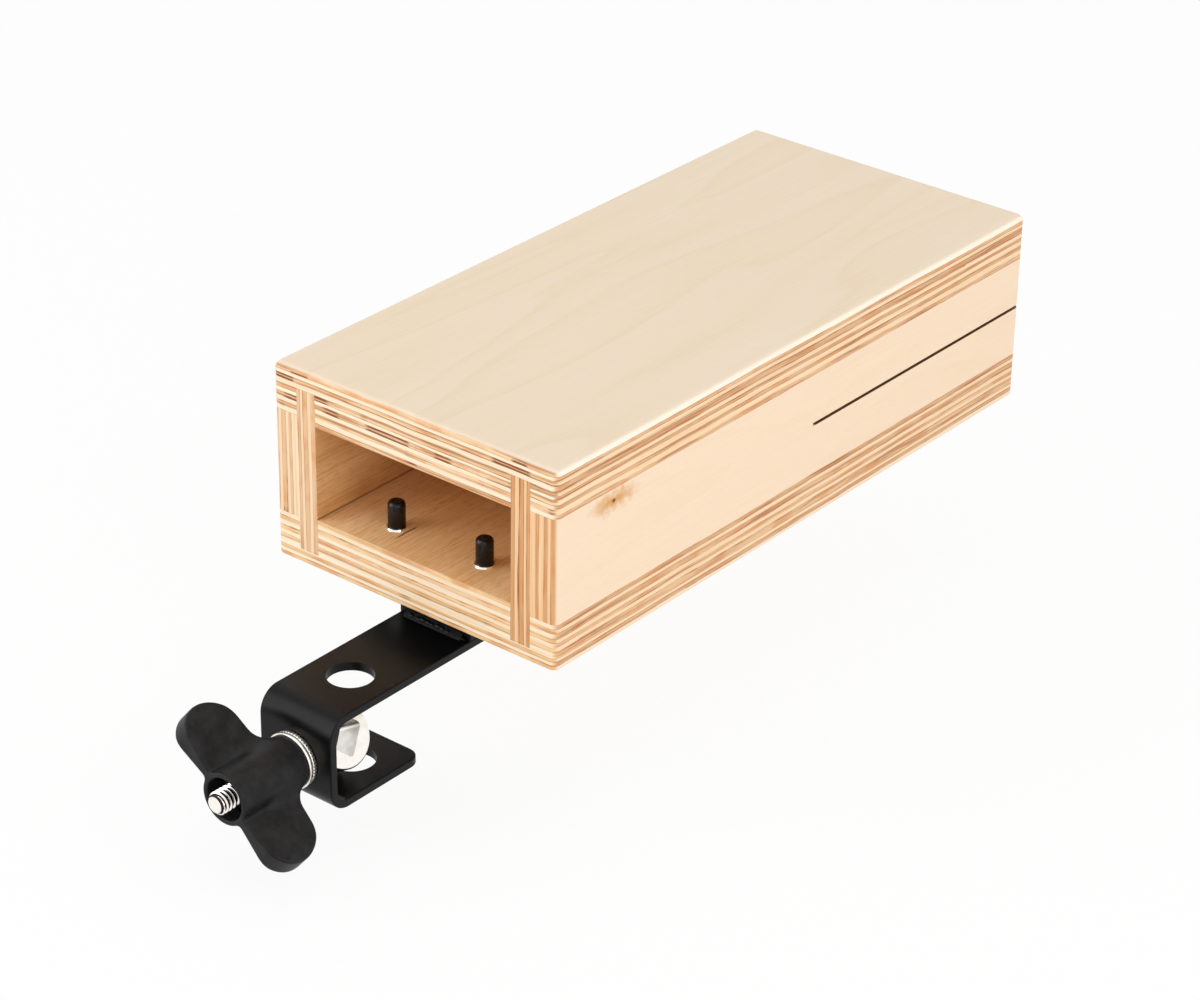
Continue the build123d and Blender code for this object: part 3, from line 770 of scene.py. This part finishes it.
def wing_nut_field(along, back, across, length):
    """Distance field of the wing nut: along its wings, back from its front end and across the wings."""
    reach = np.abs(along)
    radius = np.hypot(along, across)
    span = WING_SPAN / 2
    lobe_depth = length - HUB_COLLAR
    hub = rounded_both(radius - HUB / 2, back - length, HUB_REAR_EDGE)

    # Lobe outline, seen square to the wing: a bar whose ends are rounded
    drawn_in = WING_TAPER * (reach - HUB / 2)
    sides = np.maximum(-back, (back - lobe_depth + drawn_in) / np.hypot(1, WING_TAPER))
    outline = rounded_both(reach - span, sides, WING_TIP_ROUND)
    swell = np.clip((reach - HUB / 2) / (span - WING_TIP_ROUND / 2 - HUB / 2), 0, 1)
    half = (WING_ROOT_THICK + (WING_TIP_THICK - WING_ROOT_THICK) * swell) / 2
    lobe = rounded_both(outline, np.abs(across) - half, WING_EDGE)
    behind = np.clip((back - lobe_depth + 2 * REAR_BLEND) / (2 * REAR_BLEND), 0, 1)
    body = smooth_join(hub, lobe, FACE_BLEND + (REAR_BLEND - FACE_BLEND) * behind)
    body = smooth_cut(body, -back, HUB_FRONT_EDGE)

    # Recess in the front end, pocket of the bush and bore of the bolt
    recess = np.maximum(radius - HUB / 2 + HUB_WALL, back - HUB_RECESS)
    bush_radius = (bush_high.x - bush_low.x) / 2 * PER_MM
    pocket = np.maximum(radius - bush_radius, back - (bush_high.y - hub_low.y) * PER_MM)
    bore = radius - bolt_radius - BORE_PLAY
    body = smooth_cut(body, -recess, HUB_FRONT_EDGE)
    return np.maximum(body, -np.minimum(pocket, bore))


def wing_nut_moulding(material):
    """Wing nut as one moulding: two lobes that swell to their tips and flow into the hub."""
    front = hub_low.y * PER_MM
    length = hub_high.y * PER_MM - front
    margin = 3 * VOXEL
    low = np.array([-WING_SPAN / 2 - margin, -margin, -HUB / 2 - margin])
    high = -low + np.array([0.0, length, 0.0])
    counts = np.ceil((high - low) / VOXEL).astype(int) + 1
    axes = [low[i] + VOXEL * np.arange(counts[i]) for i in range(3)]
    field = wing_nut_field(*np.meshgrid(*axes, indexing="ij"), length)

    grid = openvdb.FloatGrid()
    grid.copyFromArray(field.astype(np.float32))
    points, quads = grid.convertToQuads()
    points = points * VOXEL + low
    x = points[:, 0] * cos(WING_ANGLE) + points[:, 2] * sin(WING_ANGLE)
    z = points[:, 0] * sin(WING_ANGLE) - points[:, 2] * cos(WING_ANGLE)
    placed = np.stack([x, points[:, 1] + front, z], axis=1) * MM
    placed[:, 2] += axis_z
    mesh = bpy.data.meshes.new("wing_nut_moulding")
    mesh.from_pydata(placed.tolist(), [], quads.tolist())
    shape = bmesh.new()
    shape.from_mesh(mesh)
    bmesh.ops.recalc_face_normals(shape, faces=shape.faces)
    shape.to_mesh(mesh)
    shape.free()
    return object_of("wing_nut_moulding", mesh, material)


def weld_bead_nodes():
    """Tree that lays overlapping lumps along a line, and its inputs by name."""
    tree = bpy.data.node_groups.new("weld_bead", "GeometryNodeTree")
    sockets = {}
    for name, kind in (
        ("Start", "NodeSocketVector"), ("End", "NodeSocketVector"), ("Lumps", "NodeSocketInt"),
        ("Radius", "NodeSocketFloat"), ("Wander", "NodeSocketFloat"), ("Seed", "NodeSocketInt"),
        ("Finish", "NodeSocketMaterial"),
    ):
        sockets[name] = tree.interface.new_socket(name, in_out="INPUT", socket_type=kind)
    tree.interface.new_socket("Mesh", in_out="OUTPUT", socket_type="NodeSocketGeometry")
    given = add(tree, "NodeGroupInput").node.outputs
    line = add(tree, "GeometryNodeMeshLine", {
        "Count": given["Lumps"], "Start Location": given["Start"], "Offset": given["End"],
    }, mode="END_POINTS")
    lump = add(tree, "GeometryNodeMeshUVSphere", {"Segments": 20, "Rings": 12, "Radius": given["Radius"]})
    sizes = add(tree, "FunctionNodeRandomValue", {
        "Min": (1.3, 0.7, 0.65), "Max": (2.1, 1.25, 1.1), "Seed": given["Seed"],
    }, data_type="FLOAT_VECTOR")
    strayed = add(tree, "FunctionNodeRandomValue", {
        "Min": (-2.0, -0.5, -1.0), "Max": (2.0, 0.5, 0.4), "Seed": given["Seed"],
    }, data_type="FLOAT_VECTOR")
    strayed = add(tree, VECTOR, {0: strayed, "Scale": given["Wander"]}, operation="SCALE")
    line = add(tree, "GeometryNodeSetPosition", {"Geometry": line, "Offset": strayed})
    lumps = add(tree, "GeometryNodeInstanceOnPoints", {"Points": line, "Instance": lump, "Scale": sizes})
    solid = add(tree, "GeometryNodeRealizeInstances", {"Geometry": lumps})
    smooth = add(tree, "GeometryNodeSetShadeSmooth", {"Geometry": solid})
    finished = add(tree, "GeometryNodeSetMaterial", {"Geometry": smooth, "Material": given["Finish"]})
    add(tree, "NodeGroupOutput", {0: finished})
    return tree, sockets


def weld_bead(material):
    """Rippled weld bead in the corner between strap and riser."""
    strap_low, strap_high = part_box("clamp_strap")
    half = (strap_high.x - strap_low.x) / 2 - BEAD_INSET * MM
    corner_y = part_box("riser")[0].y + (WELD - BEAD_LIFT) * MM
    tree, sockets = weld_bead_nodes()
    holder = bpy.data.objects.new("weld_bead_maker", bpy.data.meshes.new("weld_bead_maker"))
    bpy.context.scene.collection.objects.link(holder)
    maker = holder.modifiers.new("weld_bead", "NODES")
    maker.node_group = tree
    values = {
        "Start": (-half, corner_y, BEAD_LIFT * MM), "End": (half, corner_y, BEAD_LIFT * MM),
        "Lumps": BEAD_LUMPS, "Radius": BEAD_RADIUS * MM, "Wander": BEAD_WANDER * MM, "Seed": BEAD_SEED,
        "Finish": material,
    }
    for name, value in values.items():
        maker[sockets[name].identifier] = value
    ready = holder.evaluated_get(bpy.context.evaluated_depsgraph_get())
    mesh = bpy.data.meshes.new_from_object(ready)
    mesh.name = "weld_bead"
    bpy.data.objects.remove(holder)
    return object_of("weld_bead", mesh)


# Panels: axis across the panel, way that its outer face looks, seed of its grain, and its own looks
floor_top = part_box("bottom_plate")[1].z * PER_MM
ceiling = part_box("top_plate")[0].z * PER_MM
plain_looks = {
    "face": "#f3dfc3", "figure": "#e6c9a0", "raw": "#fdd9a8", "raw_shade": "#e6b070", "pore": "#8e5c30",
    "pale": "#ffeace", "pale_shade": "#f6d8b0", "tan": "#fad3a2", "tan_shade": "#dfa966",
    "long_pale": "#fbdcb5", "long_pale_shade": "#f0ca9d", "long_tan": "#ebc195", "long_tan_shade": "#bd7b42",
    "skin_and_highlight": "#f6dfc0", "rust": "#d98f52", "vein": "#a15c1e", "veins": 0.25,
    "glue": "#98581f", "gap": "#864208", "gaps_over": 0.69, "rings": 0.3,
}
# Chamber walls: raw tints darker than the floor's, as painted shade of the walls
wall_looks = {
    # painted shade along the corner with the floor
    "raw": "#f7c991", "raw_shade": "#d99e5f", "rings": 0.12, "gaps_over": 0.8, "corner_shade_at": floor_top,
    "cut_at": (floor_top + ceiling) / 2, "cut_from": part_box("right_side")[1].y * PER_MM - SLIT_LENGTH,
}
plywood_panels = {
    "top_plate": (Z, 1, 3.0, {
        # outermost veneer whitened: painted highlight along the rounded top edges
        "face": "#ecdac2", "figure": "#dfc6a0", "skin_and_highlight": "#fff3e0", "gaps_over": 0.58, "veins": 0.55,
        "pale": "#feecd1", "pale_shade": "#f5d8b0", "tan": "#f9d7ac", "tan_shade": "#cb8c52",
    }),
    "bottom_plate": (Z, -1, 41.0, {"crack": (-11.5, 34.9, 0.0)}),
    "left_side": (X, -1, 87.0, {
        **wall_looks, "face": "#f7dfc1", "figure": "#ecca9f", "skin_and_highlight": "#f8dfbd",
        "pale": "#f6dab5", "pale_shade": "#edc79a", "tan": "#e8bf93", "tan_shade": "#dcac7c",
    }),
    "right_side": (X, 1, 143.0, {
        **wall_looks, "face": "#f7dec2", "figure": "#edcaa0", "skin_and_highlight": "#f9d4a9", "knot": (49.0, 47.4, 49.7),
        "pale": "#f7cd9f", "pale_shade": "#edbb87", "tan": "#dea974", "tan_shade": "#cb9059",
    }),
}
for panel, (through, outward, seed, looks) in plywood_panels.items():
    dress(panel, birch_plywood(panel, through, outward, seed, {**plain_looks, **looks}))

black_steel = powder_coated_steel()
bright_steel = nickel_plated_steel(
    "nickel_plated_steel", "#fffbf5", "#faf4ec", smoothest=0.17, roughest=0.26,
)
# Eye's bore: rougher, and greyer as painted shade inside the hole
bore_steel_painted_shade = nickel_plated_steel(
    "nickel_plated_bore_painted_shade", "#e6e2dd", "#d6d1cb", smoothest=0.3, roughest=0.4,
)
# Painted shade for the thread's roots: dark in the hollows of the thread
thread_root_shade_steel = nickel_plated_steel(
    "painted_thread_root_shade", "#3a3633", "#262321", smoothest=0.35, roughest=0.5,
)
washer_steel = nickel_plated_steel(
    "nickel_plated_washer", "#fffaf2", "#f4eee5", smoothest=0.28, roughest=0.4,
)
nylon = moulded_nylon()
vinyl = dipped_vinyl()
finishes = {
    black_steel: ("clamp_strap", "riser", "mounting_plate"),
    bright_steel: ("left_screw", "right_screw", "left_insert", "right_insert", "nut_bush", "eye_bolt"),
    washer_steel: ("lock_washer", "flat_washer"),
    nylon: ("wing_nut",),
    vinyl: ("left_cap", "right_cap"),
}
for finish, dressed in finishes.items():
    for node in dressed:
        dress(node, finish)

settle(threaded_eye_bolt(bright_steel, bore_steel_painted_shade, thread_root_shade_steel), "eye_bolt", "eye_bolt")
settle(wing_nut_moulding(nylon), "wing_nut", "wing_nut")
plain_washer = pressed_washer("pressed_flat_washer", "flat_washer", washer_steel)
settle(plain_washer, "washers", "flat_washer")
toothed_washer = pressed_washer("toothed_lock_washer", "lock_washer", washer_steel, LOCK_TEETH)
settle(toothed_washer, "washers", "lock_washer")
settle(weld_bead(black_steel), "block", None)


def seen_directly(tree):
    """1 where the camera sees a surface straight, mirrored or through glass, and 0 where it only lights."""
    path = add(tree, "ShaderNodeLightPath").node.outputs
    seen = add(tree, MATH, {0: path["Is Camera Ray"], 1: path["Is Glossy Ray"]}, operation="MAXIMUM")
    return add(tree, MATH, {0: seen, 1: path["Is Transmission Ray"]}, operation="MAXIMUM")


def studio_floor(level):
    """White paper under the object: nearly white to the camera, with a soft shadow, clear from below."""
    mesh = bpy.data.meshes.new("studio_floor")
    signs = ((-1, -1), (1, -1), (1, 1), (-1, 1))
    mesh.from_pydata([(x * FLOOR_REACH, y * FLOOR_REACH, level) for x, y in signs], [], [(0, 1, 2, 3)])
    floor = bpy.data.objects.new("studio_floor", mesh)
    bpy.context.scene.collection.objects.link(floor)
    material = bpy.data.materials.new("white_paper")
    tree = empty_tree(material)
    whitened = add(tree, MATH, {0: seen_directly(tree), 1: FLOOR_GLOW}, operation="MULTIPLY")
    paper = add(tree, "ShaderNodeBsdfDiffuse", {"Color": linear("#f6f6f6")})
    glow = add(tree, "ShaderNodeEmission", {"Color": linear("#ffffff"), "Strength": 1.0})
    lit = add(tree, "ShaderNodeMixShader", {0: whitened, 1: paper, 2: glow})
    under = add(tree, "ShaderNodeNewGeometry").node.outputs["Backfacing"]
    clear = add(tree, "ShaderNodeBsdfTransparent")
    finish_material(tree, add(tree, "ShaderNodeMixShader", {0: under, 1: lit, 2: clear}))
    mesh.materials.append(material)


def studio_world(fill):
    """White surroundings: full white to the camera and in reflections, dimmer as light on the object."""
    world = bpy.data.worlds.new("white_studio")
    bpy.context.scene.world = world
    tree = empty_tree(world)
    strength = add(tree, RANGE, {"Value": seen_directly(tree), "To Min": fill, "To Max": 1.0})
    light = add(tree, "ShaderNodeBackground", {"Color": linear("#ffffff"), "Strength": strength})
    add(tree, "ShaderNodeOutputWorld", {"Surface": light})


def softbox(name, place, aim, size, power):
    """Square area lamp at a place, turned to a point; size in metres and power in watts."""
    lamp = bpy.data.lights.new(name, "AREA")
    lamp.shape = "SQUARE"
    lamp.size = size
    lamp.energy = power
    holder = bpy.data.objects.new(name, lamp)
    holder.location = place
    holder.rotation_mode = "QUATERNION"
    holder.rotation_quaternion = (Vector(aim) - Vector(place)).to_track_quat("-Z", "Y")
    bpy.context.scene.collection.objects.link(holder)


def photo_camera():
    """Long lens, right of the front and above, with the slight roll of a hand-set camera."""
    level = cos(CAMERA_ELEVATION)
    back = Vector((sin(CAMERA_AZIMUTH) * level, -cos(CAMERA_AZIMUTH) * level, sin(CAMERA_ELEVATION)))
    right = Vector((cos(CAMERA_AZIMUTH), sin(CAMERA_AZIMUTH), 0))
    up = back.cross(right)
    turned_right = right * cos(CAMERA_ROLL) - up * sin(CAMERA_ROLL)
    turned_up = up * cos(CAMERA_ROLL) + right * sin(CAMERA_ROLL)
    turn = Matrix((turned_right, turned_up, back)).transposed()
    lens = bpy.data.cameras.new("camera")
    lens.sensor_width = SENSOR_WIDTH
    lens.lens = FOCAL_LENGTH
    camera = bpy.data.objects.new("camera", lens)
    camera.matrix_world = Matrix.Translation(CAMERA_PLACE) @ turn.to_4x4()
    bpy.context.scene.collection.objects.link(camera)
    bpy.context.scene.camera = camera


studio_floor(axis_z - FLOOR_DROP * MM)
studio_world(WORLD_FILL)
softbox("key_left_front", (-0.75, -0.8, 0.85), BLOCK_MIDDLE, size=0.9, power=5.2)
softbox("kicker_front", (-0.75, -0.9, 0.05), CLAMP_MIDDLE, size=0.7, power=4.5)
softbox("fill_right", (1.2, -0.1, 0.5), BLOCK_MIDDLE, size=1.0, power=5.8)
softbox("top", (0.1, 0.2, 1.3), BLOCK_MIDDLE, size=1.0, power=2.5)
photo_camera()
bpy.context.scene.view_settings.view_transform = "Standard"
